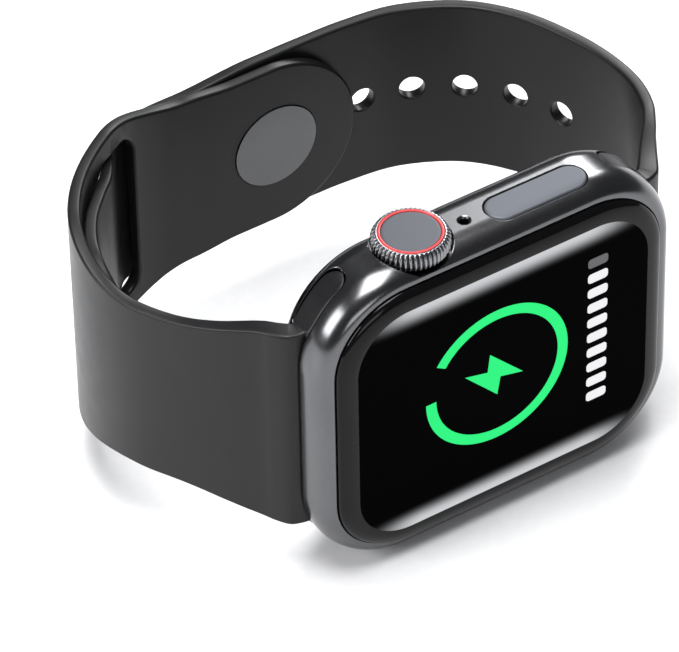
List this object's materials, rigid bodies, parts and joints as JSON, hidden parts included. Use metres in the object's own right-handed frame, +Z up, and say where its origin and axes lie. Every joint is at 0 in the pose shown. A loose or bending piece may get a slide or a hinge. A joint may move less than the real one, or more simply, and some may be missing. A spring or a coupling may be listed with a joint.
{
  "type": "smartwatch",
  "caption": "Rectangular smartwatch with a glass display, turning crown, side button and pin-and-tuck strap that slides out of the case.",
  "frame": {"origin": "on the flat strip of the case's lower side, under the middle of the case, at the crown line in depth", "axes": "+Z up through the crown side, -Y out of the display, +X from the twelve o'clock end to the six o'clock end; the strap's loop reaches to +Y"},
  "size_m": [0.0654, 0.0481, 0.0393],
  "materials": {
    "graphite_metal": "polished dark graphite",
    "black_glass": "gloss black, opaque",
    "black_seal": "matt",
    "display_stack": "dark laminate",
    "bare_steel": "brushed",
    "black_ceramic": "gloss black ceramic",
    "crystal": "dark polished crystal",
    "electrode": "dark plated",
    "green_board": "solder mask",
    "led_cluster": "clear lenses",
    "copper": "wound copper",
    "magnet": "nickel plated",
    "cell_foil": "satin foil",
    "black_plastic": "fine texture",
    "heavy_metal": "sintered tungsten, stands in",
    "gold_plate": "gold plated",
    "crown_metal": "dark, knurled",
    "red_ring": "red enamel",
    "cap_grey": "grey ceramic",
    "button_metal": "satin graphite",
    "strap_rubber": "soft matt elastomer",
    "pin_metal": "brushed grey"
  },
  "bodies": {
    "case": {"case_shell": "graphite_metal", "front_glass": "black_glass", "glass_gasket": "black_seal", "display_panel": "display_stack", "display_shield": "bare_steel", "back_cover": "black_ceramic", "back_gasket": "black_seal", "sensor_window": "crystal", "sensor_ring": "electrode", "sensor_board": "green_board", "sensor_leds": "led_cluster", "charge_coil": "copper", "align_magnet": "magnet", "battery": "cell_foil", "battery_tray": "black_plastic", "logic_board": "green_board", "haptic_housing": "bare_steel", "speaker": "black_plastic", "speaker_mesh": "bare_steel", "microphone": "gold_plate", "crown_bush": "gold_plate", "crown_bracket": "bare_steel", "crown_switch": "black_plastic", "button_bracket": "bare_steel", "button_switch": "black_plastic"},
    "crown_push_rod": {"crown_plunger": "bare_steel"},
    "crown": {"crown_shaft": "bare_steel", "crown_encoder": "black_plastic", "crown_knob": "crown_metal", "crown_ring": "red_ring", "crown_cap": "cap_grey"},
    "side_button": {"side_button": "button_metal", "button_yoke": "bare_steel"},
    "release_left": {"release_button_left": "button_metal"},
    "release_right": {"release_button_right": "button_metal"},
    "haptic_weight": {"haptic_mass": "heavy_metal"},
    "strap": {"strap_pin_side": "strap_rubber", "strap_hole_side": "strap_rubber", "clasp_pin": "pin_metal", "lug_core_left": "bare_steel", "lug_core_right": "bare_steel", "detent_left": "gold_plate", "detent_right": "gold_plate"}
  },
  "joints": [
    {"name": "crown_press", "type": "slide", "parent": "case", "child": "crown_push_rod", "axis": [0, 0, -1], "range_m": [0, 0.0003], "stiffness_N_per_m": 4000},
    {"name": "crown_turn", "type": "hinge", "parent": "crown_push_rod", "child": "crown", "pos_m": [-0.0081, -0.0005, 0.038], "axis": [0, 0, 1], "continuous": true},
    {"name": "side_button_press", "type": "slide", "parent": "case", "child": "side_button", "axis": [0, 0, -1], "range_m": [0, 0.0003], "stiffness_N_per_m": 4000},
    {"name": "release_left_press", "type": "slide", "parent": "case", "child": "release_left", "axis": [0, -1, 0], "range_m": [0, 0.0004], "stiffness_N_per_m": 2500},
    {"name": "release_right_press", "type": "slide", "parent": "case", "child": "release_right", "axis": [0, -1, 0], "range_m": [0, 0.0004], "stiffness_N_per_m": 2500},
    {"name": "haptic_slide", "type": "slide", "parent": "case", "child": "haptic_weight", "axis": [1, 0, 0], "range_m": [-0.0004, 0.0004], "stiffness_N_per_m": 800},
    {"name": "strap_slide", "type": "slide", "parent": "case", "child": "strap", "axis": [0, 0, 1], "range_m": [0, 0.034]}
  ]
}
